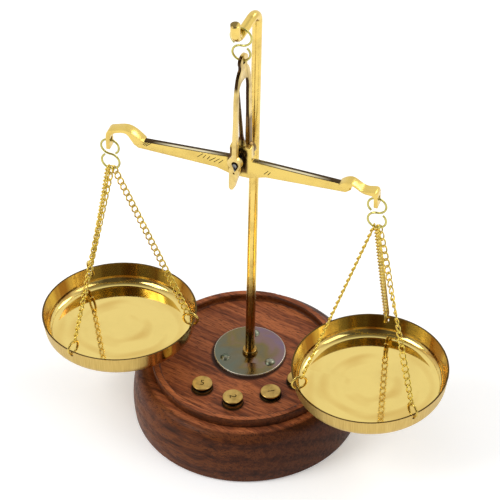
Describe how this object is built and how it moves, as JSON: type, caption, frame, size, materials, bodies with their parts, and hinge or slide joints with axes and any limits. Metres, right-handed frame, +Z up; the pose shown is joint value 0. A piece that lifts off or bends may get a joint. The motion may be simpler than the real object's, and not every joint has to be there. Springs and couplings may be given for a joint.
{
  "type": "apothecary scale",
  "caption": "Equal-arm apothecary scale: brass beam and chained pans hung from a crooked pillar on a round wooden base that holds small weights.",
  "frame": {"origin": "centre of the base's flat underside", "axes": "+Z up along the stand, +X along the beam to the right pan, -Y towards the user"},
  "size_m": [0.2197, 0.1208, 0.2698],
  "materials": {
    "rosewood": "oiled, turned, dark reddish brown",
    "patinated_steel": "polished with a warm heat tint",
    "screw_steel": "polished dome heads",
    "plated_steel": "zinc plated",
    "knife_steel": "hardened, ground",
    "rod_brass": "drawn rod, polished",
    "wire_brass": "drawn wire, slightly dull",
    "cast_brass": "cast and filed",
    "beam_brass": "filed satin",
    "pan_brass": "spun, polished inside, brushed outside",
    "chain_brass": "bright wire links",
    "weight_brass": "turned, aged"
  },
  "bodies": {
    "stand": {"wooden_base": "rosewood", "flange_plate": "patinated_steel", "flange_screws": "screw_steel", "pillar_rod": "rod_brass", "pillar_washer": "plated_steel", "pillar_nut": "plated_steel"},
    "hanger": {"hanger_hook": "wire_brass"},
    "fork": {"suspension_fork": "cast_brass"},
    "balance_beam": {"beam": "beam_brass", "knife_edge": "knife_steel"},
    "left_hook": {"left_beam_hook": "wire_brass"},
    "right_hook": {"right_beam_hook": "wire_brass"},
    "left_pan_set": {"left_pan": "pan_brass", "left_chain_1": "chain_brass", "left_chain_2": "chain_brass", "left_chain_3": "chain_brass", "left_ring_1": "wire_brass", "left_ring_2": "wire_brass", "left_ring_3": "wire_brass"},
    "right_pan_set": {"right_pan": "pan_brass", "right_chain_1": "chain_brass", "right_chain_2": "chain_brass", "right_chain_3": "chain_brass", "right_ring_1": "wire_brass", "right_ring_2": "wire_brass", "right_ring_3": "wire_brass"},
    "weight_1": {"weight_1": "weight_brass"},
    "weight_2": {"weight_2": "weight_brass"},
    "weight_3": {"weight_3": "weight_brass"},
    "weight_4": {"weight_4": "weight_brass"}
  },
  "joints": [
    {"name": "hanger_swing", "type": "hinge", "parent": "stand", "child": "hanger", "pos_m": [0.0042, -0.0106, 0.25986], "axis": [0, -1, 0], "range_deg": [-1.5, 1.5]},
    {"name": "fork_swing", "type": "hinge", "parent": "hanger", "child": "fork", "pos_m": [0.0042, -0.0106, 0.2434], "axis": [-1, 0, 0], "range_deg": [-2, 5]},
    {"name": "beam_tilt", "type": "hinge", "parent": "fork", "child": "balance_beam", "pos_m": [0.0034, -0.0106, 0.1794], "axis": [-0.0872, -0.9962, 0], "range_deg": [-4, 4]},
    {"name": "left_hook_swing", "type": "hinge", "parent": "balance_beam", "child": "left_hook", "pos_m": [-0.0671, -0.0106, 0.1746], "axis": [0, -1, 0], "range_deg": [-4, 4]},
    {"name": "right_hook_swing", "type": "hinge", "parent": "balance_beam", "child": "right_hook", "pos_m": [0.0739, -0.0106, 0.1736], "axis": [0, -1, 0], "range_deg": [-4, 4]},
    {"name": "left_pan_swing", "type": "hinge", "parent": "left_hook", "child": "left_pan_set", "pos_m": [-0.0671, -0.0106, 0.1556], "axis": [1, 0, 0], "range_deg": [-4, 4]},
    {"name": "right_pan_swing", "type": "hinge", "parent": "right_hook", "child": "right_pan_set", "pos_m": [0.0739, -0.0106, 0.1546], "axis": [1, 0, 0], "range_deg": [-4, 4]},
    {"name": "weight_1_lift", "type": "slide", "parent": "stand", "child": "weight_1", "axis": [0, 0, 1], "range_m": [0, 0.012]},
    {"name": "weight_2_lift", "type": "slide", "parent": "stand", "child": "weight_2", "axis": [0, 0, 1], "range_m": [0, 0.012]},
    {"name": "weight_3_lift", "type": "slide", "parent": "stand", "child": "weight_3", "axis": [0, 0, 1], "range_m": [0, 0.012]},
    {"name": "weight_4_lift", "type": "slide", "parent": "stand", "child": "weight_4", "axis": [0, 0, 1], "range_m": [0, 0.004]}
  ],
  "couplings": [
    {"joint": "left_hook_swing", "follows": "beam_tilt", "ratio": -1},
    {"joint": "right_hook_swing", "follows": "beam_tilt", "ratio": -1}
  ]
}
